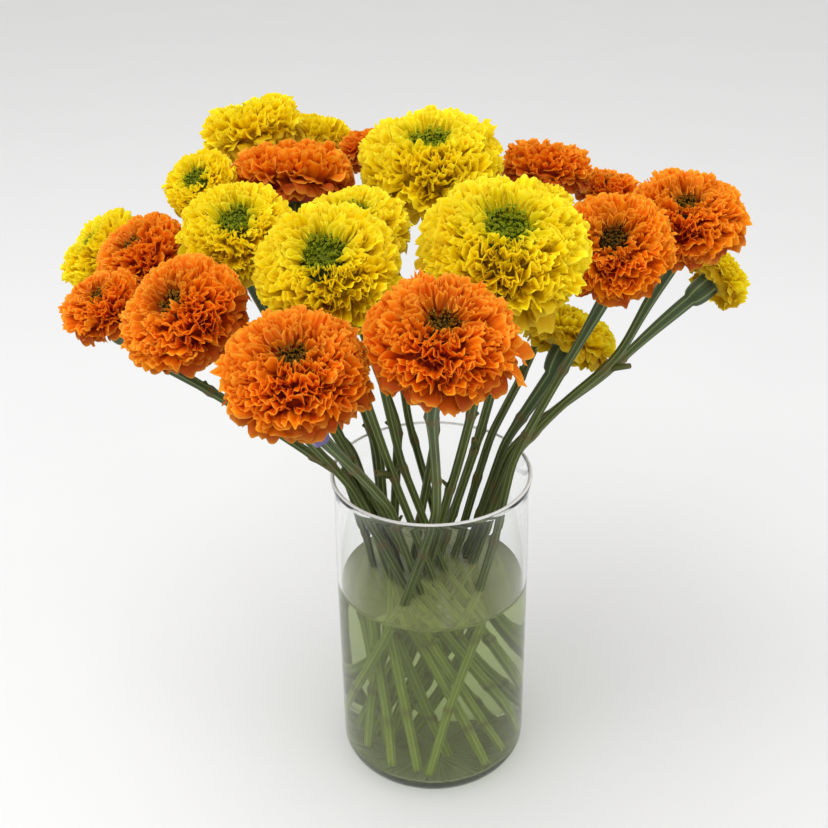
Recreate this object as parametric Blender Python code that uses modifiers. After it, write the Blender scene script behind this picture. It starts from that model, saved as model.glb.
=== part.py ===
"""Cut marigolds standing in a clear glass vase of water.

Every flower is two solids: a green one (stem, calyx, receptacle and the disc
florets in the eye) and the coloured head of ray florets that sits round it.
The origin is the middle of the vase's base, +Z is up and -Y is the front.
"""
import math
import random

import bmesh
import bpy
import numpy as np
from mathutils import Vector

MM = 0.001

# Vase, turned about Z
VASE_RADIUS = 62.5 * MM
VASE_HEIGHT = 220 * MM
WALL = 2.5 * MM
FLOOR = 10 * MM
FOOT_CORNER = 15 * MM
INNER_CORNER = 8 * MM
STRAIGHT_HEIGHT = 150 * MM
WAIST_HEIGHT = 204 * MM
WAIST_DRAW = 0.9 * MM
LIP_FLARE = 1.3 * MM
TURN_STEPS = 36

# Water
WATER_LEVEL = 140 * MM
CLEARANCE = 0.35 * MM

# Stems
STEM_RADIUS = 2.9 * MM
NECK_RADIUS = 4.2 * MM
CALYX_LENGTH = 17 * MM
CALYX_RADIUS = 7.5 * MM
CORE_RADIUS = 2.6 * MM
FOOT_HEIGHT = FLOOR + 3.6 * MM
MOUTH_REACH = 54 * MM
FOOT_REACH = 51 * MM
FAR_FOOT = 45 * MM
WIDE_NECK = 100 * MM
FOOT_TURN = math.radians(30)
CROSSING_ROUNDS = 4000
PULL_ROUNDS = 2400
FOOT_PULL = 0.02
FOOT_EASE = 0.4
MOUTH_EASE = 0.3
MOUTH_RETURN = 0.02
VASE_GAP = 1.7 * MM
OVERSHOOT = 1.02
STEM_GAP = 1.6 * MM
HEAD_GAP = 5.5 * MM
LEAVE_PULL = 0.45
ARRIVE_PULL = 0.4
ROUTE_POINTS = 22
ROUTE_ROUNDS = 140
ROUTE_STEP = 3
STEM_EASE = 0.35
HEAD_EASE = 0.5
ROUTE_EVENING = 0.12

# Heads: sizes as shares of the head's radius, except where in mm
HALF_THICKNESS = 0.56
SEAT_BELOW_CENTRE = 0.42
EYE_FLOOR = 0.72
BIG_HEAD = 27 * MM
PETAL_SAMPLES = (15, 18)
HEADS_APART = 0.5 * MM

# Tiers of ray florets, bottom to top: (radius, height) of a tip and of the fold above it
TIERS = (
    ((0.86, -0.14), (0.68, 0.04)),
    ((1.03, 0.14), (0.79, 0.31)),
    ((1.06, 0.50), (0.72, 0.60)),
    ((0.90, 0.80), (0.55, 0.78)),
)
CROWN = (0.50, 0.95)

# Disc florets in the eye: (radius, height above the eye's floor), then how far every other one stands out
DISC = ((0.25, 0.05), (0.215, 0.15), (0.105, 0.21))
DISC_RELIEF = 0.12

# How far a floret is cut back at a notch, strays at random and is skewed, and what share a fold has of it
NOTCH = 0.17
RUFFLE = 0.05
FOLD_SHARE = 0.3
SKEW = math.radians(70)

# Name, colour, middle of the head in mm, head radius in mm, azimuth and elevation that it faces
FLOWERS = (
    ("front_left", "orange", (-68, -127, 354), 36, -100, 72),
    ("front_mid", "orange", (3, -131, 372), 36, -76, 70),
    ("left", "orange", (-131, -72, 361.5), 34, -138, 56),
    ("far_left", "orange", (-181, -40, 353.5), 23, -150, 66),
    ("left_upper", "orange", (-168, 10, 363.5), 28, -155, 59),
    ("right", "orange", (153, 35, 372.5), 34, -88, 72),
    ("right_mid", "orange", (104, -13, 372), 31, -107, 54),
    ("top_right", "orange", (77, 98, 385), 28, 56, 77),
    ("back_right", "orange", (119, 113, 365), 20, 36, 81),
    ("top_left", "orange", (-82, 63, 388), 38, 92, 56),
    ("back", "orange", (-34, 137, 385), 23, 92, 62),
    ("mid_left", "yellow", (-55, -61, 381.5), 38, -103, 60),
    ("inner_left", "yellow", (-107, -12, 384), 32, -92, 64),
    ("centre", "yellow", (39, -53, 389.5), 47, -77, 71),
    ("top", "yellow", (2, 73, 396), 44, -107, 80),
    ("behind_mid", "yellow", (-42, 7, 378.5), 31, -103, 79),
    ("small_left", "yellow", (-134, 36, 396), 22, -123, 52),
    ("back_top_left", "yellow", (-112, 125, 405), 32, 149, 75),
    ("back_left", "yellow", (-73, 168, 386), 24, 70, 59),
    ("low_right", "yellow", (192, 90, 311), 22, 25, 30),
    ("under_right", "yellow", (91, 50, 289), 29, 44, 51),
    ("behind_left", "yellow", (-203, 60, 346.5), 29, -171, 50),
    ("behind_right", "yellow", (65, 48, 377), 23, 32, 79),
)

# Plastic sleeves slipped over two necks: flower, distance below the calyx, length
SLEEVES = (("front_left", 13 * MM, 11 * MM), ("mid_left", 16 * MM, 12 * MM))
SLEEVE_WALL = 0.8 * MM
SLEEVE_CLEARANCE = 0.9 * MM

COLOURS = {
    "glass": ((0.86, 0.92, 0.88, 1), 0.03),
    "water": ((0.62, 0.70, 0.55, 1), 0.05),
    "stem": ((0.10, 0.19, 0.05, 1), 0.55),
    "orange": ((0.92, 0.22, 0.01, 1), 0.6),
    "yellow": ((0.95, 0.72, 0.02, 1), 0.6),
    "sleeve": ((0.20, 0.13, 0.36, 1), 0.4),
}


def clear_scene():
    for obj in list(bpy.data.objects):
        bpy.data.objects.remove(obj)


def new_collection(name):
    made = bpy.data.collections.new(name)
    bpy.context.scene.collection.children.link(made)
    return made


def material(name):
    """A Principled BSDF in the part's colour."""
    if name in bpy.data.materials:
        return bpy.data.materials[name]
    made = bpy.data.materials.new(name)
    made.use_nodes = True
    shader = made.node_tree.nodes["Principled BSDF"]
    colour, roughness = COLOURS[name]
    shader.inputs["Base Color"].default_value = colour
    shader.inputs["Roughness"].default_value = roughness
    shader.inputs["Metallic"].default_value = 0
    if name in ("glass", "water"):
        shader.inputs["Transmission Weight"].default_value = 0.9
    return made


def place(obj, collection, finish):
    for old in list(obj.users_collection):
        old.objects.unlink(obj)
    collection.objects.link(obj)
    obj.data.materials.clear()
    obj.data.materials.append(material(finish))
    return obj


def facing(azimuth, elevation):
    a, e = math.radians(azimuth), math.radians(elevation)
    return np.array([math.cos(e) * math.cos(a), math.cos(e) * math.sin(a), math.sin(e)])


class Flowers:
    """The heads' middles, radii and facings as arrays, with the neck that each stem has to reach."""

    def __init__(self):
        self.heads = np.array([row[2] for row in FLOWERS]) * MM
        self.radii = np.array([row[3] for row in FLOWERS]) * MM
        self.axes = np.array([facing(row[4], row[5]) for row in FLOWERS])
        self.seats = self.heads - self.axes * (SEAT_BELOW_CENTRE * self.radii)[:, None]
        self.necks = self.seats - self.axes * CALYX_LENGTH
        self.count = len(FLOWERS)


def head_balls(flowers):
    """Seven balls fill each head: one in the middle and six round it. Stems keep clear of them."""
    centres, sizes, owner = [], [], []
    for i in range(flowers.count):
        across = np.cross(flowers.axes[i], [0, 0, 1.0])
        across /= np.linalg.norm(across)
        over = np.cross(flowers.axes[i], across)
        thin = HALF_THICKNESS * flowers.radii[i]
        rim = flowers.radii[i] - thin
        turns = [k * math.pi / 3 for k in range(6)]
        centres.append(flowers.heads[i])
        centres += [flowers.heads[i] + rim * (across * math.cos(t) + over * math.sin(t)) for t in turns]
        sizes += [thin] * 7
        owner += [i] * 7
    return np.array(centres), np.array(sizes), np.array(owner)


def reach_towards(flowers, i, ways):
    """How far the tips of head i reach from its middle in each direction."""
    along = ways @ flowers.axes[i]
    across = np.sqrt(1 - along**2)
    tips = [tip for tip, _ in TIERS] + [CROWN]
    reach = [(out + RUFFLE) * across + (up - SEAT_BELOW_CENTRE) * along for out, up in tips]
    return flowers.radii[i] * (np.max(reach, axis=0) + RUFFLE * np.abs(along))


def partings(flowers):
    """For each head, the planes that part it from the heads it presses on: (outward normal, distance)."""
    count = 500
    rank = np.arange(count) + 0.5
    turn = math.pi * (1 + math.sqrt(5)) * rank
    level = 1 - 2 * rank / count
    ways = np.stack([np.cos(turn), np.sin(turn), level], 1)
    ways[:, :2] *= np.sqrt(1 - level**2)[:, None]
    planes = [[] for _ in range(flowers.count)]
    for i in range(flowers.count):
        for j in range(i + 1, flowers.count):
            here, there = (reach_towards(flowers, k, ways) for k in (i, j))
            between = ways @ (flowers.heads[j] - flowers.heads[i])
            best = np.argmax(between - here - there)
            slack = (between - here - there)[best] - HEADS_APART
            if slack < 0:
                planes[i].append((Vector(ways[best]), here[best] + slack / 2))
                planes[j].append((Vector(-ways[best]), there[best] + slack / 2))
    return planes


def hermite(start, end, leave, arrive, count):
    s = np.linspace(0, 1, count)[:, None]
    return (
        (2 * s**3 - 3 * s**2 + 1) * start
        + (s**3 - 2 * s**2 + s) * leave
        + (3 * s**2 - 2 * s**3) * end
        + (s**3 - s**2) * arrive
    )


def straight_stems(flowers):
    """Each stem's foot and its point in the mouth, in plan, if it runs straight to the far side of the floor.

    The stems of the outer heads can't run straight, so they cross the mouth at its edge.
    """
    plan = flowers.necks[:, :2]
    out = np.linalg.norm(plan, axis=1)[:, None]
    foot = FAR_FOOT * np.minimum(1, out / WIDE_NECK)
    share = (VASE_HEIGHT - FOOT_HEIGHT) / (flowers.necks[:, 2:] - FOOT_HEIGHT)
    mouth = np.minimum(MOUTH_REACH, (out + foot) * share - foot)
    return -plan / out * foot, plan / out * mouth


def held_in(points, reach):
    """Points in plan, with those beyond reach drawn in to it."""
    out = np.maximum(np.linalg.norm(points, axis=1), MM)[:, None]
    return points * np.minimum(1, reach / out)


def crossing_stems(flowers):
    """Each stem's foot and its point in the mouth, in plan.

    The stems start out straight, give or take an angle of their own. Then they are pushed off each
    other until no two come closer than the gap at any height in the vase, while their feet are
    drawn to where the stems would be straight.
    """
    feet, start = straight_stems(flowers)
    turn = np.random.default_rng(1).uniform(-FOOT_TURN, FOOT_TURN, flowers.count)
    c, s = np.cos(turn), np.sin(turn)
    feet = np.stack([feet[:, 0] * c - feet[:, 1] * s, feet[:, 0] * s + feet[:, 1] * c], 1)
    mouth = start.copy()
    first, second = np.triu_indices(flowers.count, 1)
    need = 2 * STEM_RADIUS + VASE_GAP
    for k in range(CROSSING_ROUNDS):
        low, high = feet[first] - feet[second], mouth[first] - mouth[second]
        run = high - low
        share = np.clip(-(low * run).sum(1) / (run**2).sum(1), 0, 1)[:, None]
        near = low + run * share
        length = np.linalg.norm(near, axis=1)[:, None]
        if length.min() >= need:
            break
        push = near / length * np.clip(OVERSHOOT * need - length, 0, None)
        for points, move in ((feet, FOOT_EASE * (1 - share) * push), (mouth, MOUTH_EASE * share * push)):
            np.add.at(points, first, move)
            np.add.at(points, second, -move)
        lean = (flowers.necks[:, :2] - mouth) / (flowers.necks[:, 2:] - VASE_HEIGHT)
        straight = held_in(mouth - lean * (VASE_HEIGHT - FOOT_HEIGHT), FOOT_REACH)
        feet += FOOT_PULL * max(0, 1 - k / PULL_ROUNDS) * (straight - feet)
        mouth += MOUTH_RETURN * (start - mouth)
        feet, mouth = held_in(feet, FOOT_REACH), held_in(mouth, MOUTH_REACH)
    return feet, mouth


def stem_routes(flowers):
    """The feet, and each stem's points from the vase's mouth to its neck.

    Above the mouth the stems are eased off each other and the heads.
    """
    count = flowers.count
    under, across = crossing_stems(flowers)
    feet = np.concatenate([under, np.full((count, 1), FOOT_HEIGHT)], 1)
    mouth = np.concatenate([across, np.full((count, 1), VASE_HEIGHT)], 1)
    rise = mouth - feet
    rise /= np.linalg.norm(rise, axis=1)[:, None]
    span = np.linalg.norm(flowers.necks - mouth, axis=1)[:, None]
    ends = zip(mouth, flowers.necks, rise * span * LEAVE_PULL, flowers.axes * span * ARRIVE_PULL)
    routes = np.array([hermite(*four, ROUTE_POINTS) for four in ends])
    balls, sizes, owner = head_balls(flowers)
    stem_of = np.repeat(np.arange(count), ROUTE_POINTS)
    same_stem = stem_of[:, None] == stem_of[None]
    own_head = stem_of[:, None] == owner[None]
    free = np.sin(np.linspace(0, math.pi, ROUTE_POINTS)) ** 0.5
    free[[0, -1]] = 0
    between = 2 * STEM_RADIUS + STEM_GAP
    for _ in range(ROUTE_ROUNDS):
        points = routes.reshape(-1, 3)
        apart = points[:, None] - points[None]
        length = np.linalg.norm(apart, axis=2)
        push = np.where(same_stem, 0, np.clip(between - length, 0, None))
        move = STEM_EASE * (apart / np.maximum(length, 1e-6)[..., None] * push[..., None]).sum(1)
        off = points[:, None] - balls[None]
        length = np.linalg.norm(off, axis=2)
        push = np.where(own_head, 0, np.clip(sizes + STEM_RADIUS + HEAD_GAP - length, 0, None))
        move += HEAD_EASE * (off / length[..., None] * push[..., None]).sum(1)
        move = move.reshape(count, ROUTE_POINTS, 3) * free[None, :, None]
        for _ in range(2):
            move[:, 1:-1] = (move[:, :-2] + 2 * move[:, 1:-1] + move[:, 2:]) / 4
        routes = routes + move
        routes[:, 2:-2] += ROUTE_EVENING * ((routes[:, 1:-3] + routes[:, 3:-1]) / 2 - routes[:, 2:-2])
    return feet, routes


def turned(name, profile):
    """A profile of (radius, height) turned about Z, from the inner floor over the rim to the base."""
    mesh = bpy.data.meshes.new(name)
    points = [(radius, 0, height) for radius, height in profile]
    mesh.from_pydata(points, [(i, i + 1) for i in range(len(points) - 1)], [])
    obj = bpy.data.objects.new(name, mesh)
    screw = obj.modifiers.new("Turn", "SCREW")
    screw.steps = screw.render_steps = TURN_STEPS
    screw.use_merge_vertices = True
    screw.merge_threshold = 0.01 * MM
    return obj


def corner(radius, middle_out, middle_up, steps, rising):
    """Points of a quarter round between a floor and an upright wall."""
    turns = [math.pi / 2 * k / steps for k in range(steps + 1)]
    arc = [(middle_out + radius * math.sin(t), middle_up - radius * math.cos(t)) for t in turns]
    return arc if rising else arc[::-1]


def vase_wall(inset):
    """The inside of the vase from floor to water line, drawn in by inset."""
    inner = VASE_RADIUS - WALL - inset
    floor = FLOOR + inset
    return corner(INNER_CORNER, inner - INNER_CORNER, floor + INNER_CORNER, 3, True)


def make_vase(collection):
    inner = VASE_RADIUS - WALL
    profile = [(0, FLOOR)] + vase_wall(0)
    profile += [
        (inner, STRAIGHT_HEIGHT),
        (inner - WAIST_DRAW, WAIST_HEIGHT),
        (inner + LIP_FLARE, VASE_HEIGHT - 0.8 * MM),
        (inner + LIP_FLARE + 0.7 * MM, VASE_HEIGHT),
        (VASE_RADIUS + LIP_FLARE - 0.7 * MM, VASE_HEIGHT),
        (VASE_RADIUS + LIP_FLARE, VASE_HEIGHT - 0.8 * MM),
        (VASE_RADIUS - WAIST_DRAW, WAIST_HEIGHT),
        (VASE_RADIUS, STRAIGHT_HEIGHT),
    ]
    profile += corner(FOOT_CORNER, VASE_RADIUS - FOOT_CORNER, FOOT_CORNER, 4, False)
    profile += [(0, 0)]
    return place(turned("vase", profile), collection, "glass")


def swept(name, points, radii):
    """A six-sided solid tube through the points, with its own radius at each."""
    curve = bpy.data.curves.new(name, "CURVE")
    curve.dimensions = "3D"
    curve.bevel_depth = 1
    curve.bevel_resolution = 1
    curve.use_fill_caps = True
    spline = curve.splines.new("POLY")
    spline.points.add(len(points) - 1)
    for knot, point, radius in zip(spline.points, points, radii):
        knot.co = (*point, 1)
        knot.radius = radius
    guide = bpy.data.objects.new(name + "_guide", curve)
    bpy.context.scene.collection.objects.link(guide)
    bpy.context.view_layer.update()
    graph = bpy.context.evaluated_depsgraph_get()
    mesh = bpy.data.meshes.new_from_object(guide.evaluated_get(graph))
    bpy.data.objects.remove(guide)
    bm = bmesh.new()
    bm.from_mesh(mesh)
    bmesh.ops.remove_doubles(bm, verts=bm.verts, dist=0.001 * MM)
    bmesh.ops.recalc_face_normals(bm, faces=bm.faces)
    bm.to_mesh(mesh)
    bm.free()
    mesh.name = name
    return bpy.data.objects.new(name, mesh)


def disc_relief(obj, seat, axis, radius):
    """Raises the eye's disc florets: every other corner of the disc stands up and out."""
    upright = Vector(axis)
    base = Vector(seat) + upright * (EYE_FLOOR + 0.01) * radius
    for k, vertex in enumerate(v for v in obj.data.vertices if (v.co - base).dot(upright) > 0):
        rise = (vertex.co - base).dot(upright)
        out = vertex.co - base - upright * rise
        swell = DISC_RELIEF if k % 2 else -DISC_RELIEF
        vertex.co += out * swell + upright * rise * swell * 1.5


def make_stem(flowers, i, foot, route, collection):
    """Stem, calyx cup, the core through the head and the disc florets, as one green solid."""
    radius = flowers.radii[i]
    axis = flowers.axes[i]
    seat = flowers.seats[i]
    below = list(route[1:-1:ROUTE_STEP])
    swell = np.linspace(0, 1, len(below)) ** 3
    points = [foot, (foot + route[0]) / 2, route[0]] + below
    radii = [STEM_RADIUS] * 3 + list(STEM_RADIUS + (NECK_RADIUS - STEM_RADIUS) * swell)
    along = [
        (0, NECK_RADIUS),
        (4 * MM, 0.82 * CALYX_RADIUS),
        (CALYX_LENGTH, CALYX_RADIUS),
        (CALYX_LENGTH + 0.5 * MM, CORE_RADIUS),
        (CALYX_LENGTH + EYE_FLOOR * radius, CORE_RADIUS),
    ]
    along += [(CALYX_LENGTH + (EYE_FLOOR + up) * radius, out * radius) for out, up in DISC]
    neck = seat - axis * CALYX_LENGTH
    points += [neck + axis * up for up, _ in along]
    radii += [r for _, r in along]
    name = f"stem_{FLOWERS[i][1]}_{FLOWERS[i][0]}"
    obj = swept(name, points, radii)
    disc_relief(obj, seat, axis, radius)
    return place(obj, collection, "stem")


def head_profile(radius):
    """(radius, height, tier) round the head's section, from its hole out, up the tiers and into the eye.

    tier is 0 on the hole and in the eye, and whole at the tips of that tier.
    """
    hole = CORE_RADIUS + 2 * CLEARANCE
    lift = 0.5 * MM + CLEARANCE
    section = [(hole, lift, 0), (CALYX_RADIUS + 2 * CLEARANCE, lift, 0)]
    for tier, (tip, fold) in enumerate(TIERS, 1):
        section.append((tip[0] * radius, tip[1] * radius, tier))
        section.append((fold[0] * radius, fold[1] * radius, tier + 0.5))
    section.append((CROWN[0] * radius, CROWN[1] * radius, len(TIERS) + 1))
    section.append((1.2 * DISC[0][0] * radius, (EYE_FLOOR + 0.02) * radius, 0))
    section.append((hole, (EYE_FLOOR - 0.03) * radius, 0))
    return section


def make_head(flowers, i, planes, collection):
    """Tiers of blunt ray florets: a torus whose section is the zigzag of their tips and folds.

    Round the head a floret is two samples wide, and the third is the notch beside it.
    Florets that would reach past a plane between this head and the next are pressed back to it.
    """
    radius = flowers.radii[i]
    samples = PETAL_SAMPLES[1 if radius >= BIG_HEAD else 0]
    section = head_profile(radius)
    chance = random.Random(100 + i)
    bpy.ops.mesh.primitive_torus_add(
        major_segments=samples, minor_segments=len(section), major_radius=radius, minor_radius=radius / 4
    )
    obj = bpy.context.active_object
    obj.name = obj.data.name = f"head_{FLOWERS[i][1]}_{FLOWERS[i][0]}"
    upright = Vector(flowers.axes[i]).to_track_quat("Z", "Y")
    middle = Vector(flowers.heads[i] - flowers.seats[i])
    for k, vertex in enumerate(obj.data.vertices):
        step, place_in = divmod(k, len(section))
        out, up, tier = section[place_in]
        turn = 2 * math.pi * step / samples
        if tier:
            notched = (step + int(tier)) % 3 == 0
            strength = 1 if tier == int(tier) else -FOLD_SHARE
            stray = -NOTCH if notched else chance.uniform(-RUFFLE, 0.3 * RUFFLE)
            out += radius * stray * strength
            up += radius * chance.uniform(-RUFFLE, RUFFLE) * abs(strength)
            turn += chance.uniform(-1, 1) * SKEW / samples * abs(strength)
        spot = upright @ Vector((out * math.cos(turn), out * math.sin(turn), up))
        for normal, limit in planes:
            spot -= normal * max(0, (spot - middle).dot(normal) - limit)
        vertex.co = spot
    obj.data.update()
    obj.location = flowers.seats[i]
    return place(obj, collection, FLOWERS[i][1])


def make_water(feet, routes, collection, cutters):
    """Water up to its level, with a plain hole for each stem."""
    inner = VASE_RADIUS - WALL - CLEARANCE
    profile = [(0, FLOOR + CLEARANCE)] + vase_wall(CLEARANCE)
    profile += [(inner, WATER_LEVEL), (0, WATER_LEVEL)]
    water = place(turned("water", profile), collection, "water")
    for foot, route in zip(feet, routes):
        rise = (route[0] - foot) / np.linalg.norm(route[0] - foot)
        tube = swept("hole", [foot - rise * 0.6 * MM, route[0]], [STEM_RADIUS + CLEARANCE] * 2)
        tube.hide_render = True
        tube.display_type = "WIRE"
        cutters.objects.link(tube)
    cut = water.modifiers.new("Stem holes", "BOOLEAN")
    cut.operand_type = "COLLECTION"
    cut.collection = cutters
    return water


def make_sleeve(name, route, neck, below, length, collection):
    """A short tube round a stem, below its calyx."""
    line = np.concatenate([route, [neck]])
    steps = np.linalg.norm(np.diff(line, axis=0), axis=1)
    run = np.concatenate([[0], np.cumsum(steps)])
    centre, ahead = (
        Vector([np.interp(run[-1] - back, run, line[:, k]) for k in range(3)])
        for back in (below, below - length / 2)
    )
    bpy.ops.mesh.primitive_cylinder_add(
        vertices=12, radius=NECK_RADIUS + SLEEVE_CLEARANCE, depth=length, end_fill_type="NOTHING", location=centre
    )
    obj = bpy.context.active_object
    obj.name = obj.data.name = f"sleeve_{name}"
    obj.rotation_mode = "QUATERNION"
    obj.rotation_quaternion = (ahead - centre).to_track_quat("Z", "Y")
    wall = obj.modifiers.new("Wall", "SOLIDIFY")
    wall.thickness = SLEEVE_WALL
    wall.offset = 1
    return place(obj, collection, "sleeve")


def main():
    clear_scene()
    vase_of_marigolds = new_collection("vase_of_marigolds")
    cutters = new_collection("cutters")
    flowers = Flowers()
    feet, routes = stem_routes(flowers)
    make_vase(vase_of_marigolds)
    make_water(feet, routes, vase_of_marigolds, cutters)
    planes = partings(flowers)
    for i in range(flowers.count):
        make_stem(flowers, i, feet[i], routes[i], vase_of_marigolds)
        make_head(flowers, i, planes[i], vase_of_marigolds)
    names = [row[0] for row in FLOWERS]
    for name, below, length in SLEEVES:
        i = names.index(name)
        make_sleeve(name, routes[i], flowers.necks[i], below, length, vase_of_marigolds)


main()
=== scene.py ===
"""Marigolds in a glass vase: fine petals, florets, stems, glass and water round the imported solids.

Lengths are in metres, in the solids' frame: the origin is the middle of the vase's foot, +Z is up
and -Y is the front. Sizes given as shares are shares of a head's radius.
"""
import math

import bpy
import numpy as np
from mathutils import Matrix, Vector


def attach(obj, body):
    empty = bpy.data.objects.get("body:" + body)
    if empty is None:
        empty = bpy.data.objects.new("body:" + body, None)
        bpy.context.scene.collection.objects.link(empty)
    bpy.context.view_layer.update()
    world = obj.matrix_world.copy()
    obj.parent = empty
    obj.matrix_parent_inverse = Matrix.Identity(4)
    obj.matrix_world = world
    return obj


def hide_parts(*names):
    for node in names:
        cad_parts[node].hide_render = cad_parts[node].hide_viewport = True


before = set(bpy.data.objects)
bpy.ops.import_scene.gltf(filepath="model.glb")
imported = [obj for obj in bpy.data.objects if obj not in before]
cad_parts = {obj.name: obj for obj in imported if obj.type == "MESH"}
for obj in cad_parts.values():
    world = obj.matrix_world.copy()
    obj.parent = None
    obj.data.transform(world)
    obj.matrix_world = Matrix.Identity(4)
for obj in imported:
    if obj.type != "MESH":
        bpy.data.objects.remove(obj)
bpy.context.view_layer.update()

MM = 0.001

# The camera of the photo
CAMERA_PLACE = (-0.0103, -0.676, 0.626)
CAMERA_PITCH = math.radians(61.55)
CAMERA_ROLL = math.radians(-0.9)
CAMERA_FOCAL_PIXELS = 1250
PHOTO_PIXELS = 828
SENSOR = 36

# Floor, room and lamps. A lamp has a name, a place, a size and a power
FLOOR_RADIUS = 4.0
FLOOR_SIDES = 96
FLOOR_COLOURS = ((0.675, 0.678, 0.685), (0.695, 0.698, 0.705))
ROOM_COLOUR = (0.955, 0.95, 0.935)
ROOM_LIGHT = 0.96
LAMPS = (("key", (-0.7, -0.5, 2.0), 2.0, 30.0), ("fill", (1.3, -0.9, 1.3), 1.5, 6.0))
LAMP_AIM = (0, 0, 0.25)

# Vase and water
VASE_RADIUS = 62.5 * MM
VASE_HEIGHT = 220 * MM
WALL = 2.5 * MM
FLOOR = 10 * MM
FOOT_CORNER = 15 * MM
INNER_CORNER = 8 * MM
STRAIGHT_HEIGHT = 150 * MM
WAIST_HEIGHT = 204 * MM
WAIST_DRAW = 0.9 * MM
LIP_FLARE = 1.3 * MM
WATER_LEVEL = 140 * MM
MENISCUS = 1.2 * MM
PIN = 0.01 * MM
HUB = 0.3 * MM
WETTING = 0.12 * MM
TURN_STEPS = 128
CORNER_STEPS = 8
FOOT_STEPS = 12
SIDE_HEIGHTS = (60 * MM, 105 * MM)
# The waist of both faces of the wall: share of its draw, height
WAIST = ((0.0, STRAIGHT_HEIGHT), (0.35, 178 * MM), (1.0, WAIST_HEIGHT), (0.75, 210 * MM), (-0.6, 215 * MM))
# How the water creeps up the glass: distance from the glass, share of its whole rise
CREEP = ((2.6 * MM, 0.08), (1.2 * MM, 0.35), (0.0, 1.0))
WATER_SIDE = (WATER_LEVEL - MENISCUS, 100 * MM, 50 * MM)
# The height over which the lip's gleam and the water's cloudy top fade in
RIM_FADE = 0.3 * WALL

# Stems
ROUTE_RADIUS = 2.9 * MM
STEM_RADIUS = 2.75 * MM
NECK_RADIUS = 4.4 * MM
CALYX_LENGTH = 17 * MM
CALYX_RADIUS = 7.5 * MM
FOOT_HEIGHT = FLOOR + 3.6 * MM
MOUTH_REACH = 54 * MM
FOOT_REACH = 51 * MM
FAR_FOOT = 45 * MM
WIDE_NECK = 100 * MM
FOOT_TURN = math.radians(30)
CROSSING_SEED = 1
CROSSING_ROUNDS = 4000
PULL_ROUNDS = 2400
FOOT_PULL = 0.02
FOOT_EASE = 0.4
MOUTH_EASE = 0.3
MOUTH_RETURN = 0.02
VASE_GAP = 1.7 * MM
OVERSHOOT = 1.02
STEM_GAP = 1.6 * MM
HEAD_GAP = 5.5 * MM
LEAVE_PULL = 0.45
ARRIVE_PULL = 0.4
ROUTE_POINTS = 22
ROUTE_ROUNDS = 140
STEM_EASE = 0.35
HEAD_EASE = 0.5
ROUTE_EVENING = 0.12
MOVE_SMOOTHING = 2
PATH_SMOOTHING = 3
STEM_SIDES = 24
STEM_RIBS = 6
RIB_HEIGHT = 0.09
RING_SPACING = 3.8 * MM
STEM_SEED = 900
STEM_SPREAD = (0.88, 1.06)
NECK_TAPER = 60 * MM
# Where the neck's colour sets in and where it is full, below the end of the stem
NECK_COLOURED = (90 * MM, 10 * MM)
# How far above and below the water's level a stem's colour changes to its painted light under water
UNDERWATER_FADE_ABOVE = 4 * MM
UNDERWATER_FADE_BELOW = 10 * MM
# Knots, in mm: the first one's height, the steps between them, and where below the end they stop
FIRST_KNOT = (25, 55)
KNOT_STEP = (50, 80)
LAST_KNOT = 95
KNOT_SWELL = 0.26
KNOT_LENGTH = 2.6 * MM
KNOT_BEND = 1.0 * MM
# The calyx from neck to seat: share of its length, share of its radius
CALYX_PROFILE = np.array(((0.12, 0.80), (0.3, 0.92), (0.55, 1.0), (0.8, 1.02), (1.0, 1.0)))
CALYX_TEETH = 9
TOOTH_HALF_WIDTH = 2.6 * MM
TOOTH_LENGTH = 3.2 * MM
TOOTH_BEND = 2.2 * MM

# Stubs of leaves and side shoots: least length, greatest length and radius of each kind
STUBS = ((1.5 * MM, 3.5 * MM, 1.1 * MM), (5 * MM, 9 * MM, 1.1 * MM), (10 * MM, 17 * MM, 2.0 * MM))
# The share of stubs of the first kind, and of the first two
STUB_SHARES = (0.66, 0.90)
STUB_TURN = math.radians(150)
STUB_SIDES = 8
# A stub from foot to torn end: share of its length, share of its radius
STUB_PROFILE = np.array(((0.1, 1.3), (0.75, 1.0), (1.0, 0.85), (1.02, 0.3)))
STUB_BROWN = np.array((0.5, 0.3, 0.1, 0.9, 1.4))

# Film sleeves: whose neck they are on, how far below it their middle is, and their length
SLEEVES = (("front_left", 16 * MM, 17 * MM), ("mid_left", 16 * MM, 12 * MM))
SLEEVE_SEED = 77
SLEEVE_RINGS = 9
SLEEVE_SIDES = 28
SLEEVE_FOLDS = 5
FOLD_HEIGHT = 0.06
# Shares: a sleeve's radius at its ends of the neck's, and its inner face's of its outer one's
SLEEVE_REACH = (1.30, 1.42)
SLEEVE_INSIDE = 0.94
CRINKLE = 0.16 * MM

# Heads
HALF_THICKNESS = 0.56
SEAT_BELOW_CENTRE = 0.42
HEADS_APART = 0.5 * MM
SQUEEZE = 5 * MM
TIER_TIPS = ((0.86, -0.14), (1.03, 0.14), (1.06, 0.50), (0.90, 0.80), (0.50, 0.95))
RUFFLE_ROOM = 0.05
WAYS_TRIED = 500
HEAD_SEED = 40
GOLDEN = math.pi * (3 - math.sqrt(5))
# The florets' size as a share of the solid head's, and the heads with their own
HEAD_SCALE = 0.95
HEAD_SCALES = {"centre": 0.89, "right_mid": 1.0}
# Painted light (above 0) and painted shade (below 0) on some heads: how much lighter or deeper than the
# others they are
HEAD_PAINTED_LIGHT = {
    "right": 0.45, "right_mid": 0.8, "top_left": 0.6, "back_right": 0.6, "back_left": 0.5, "low_right": 0.5,
    "front_mid": -0.2,
}

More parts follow.
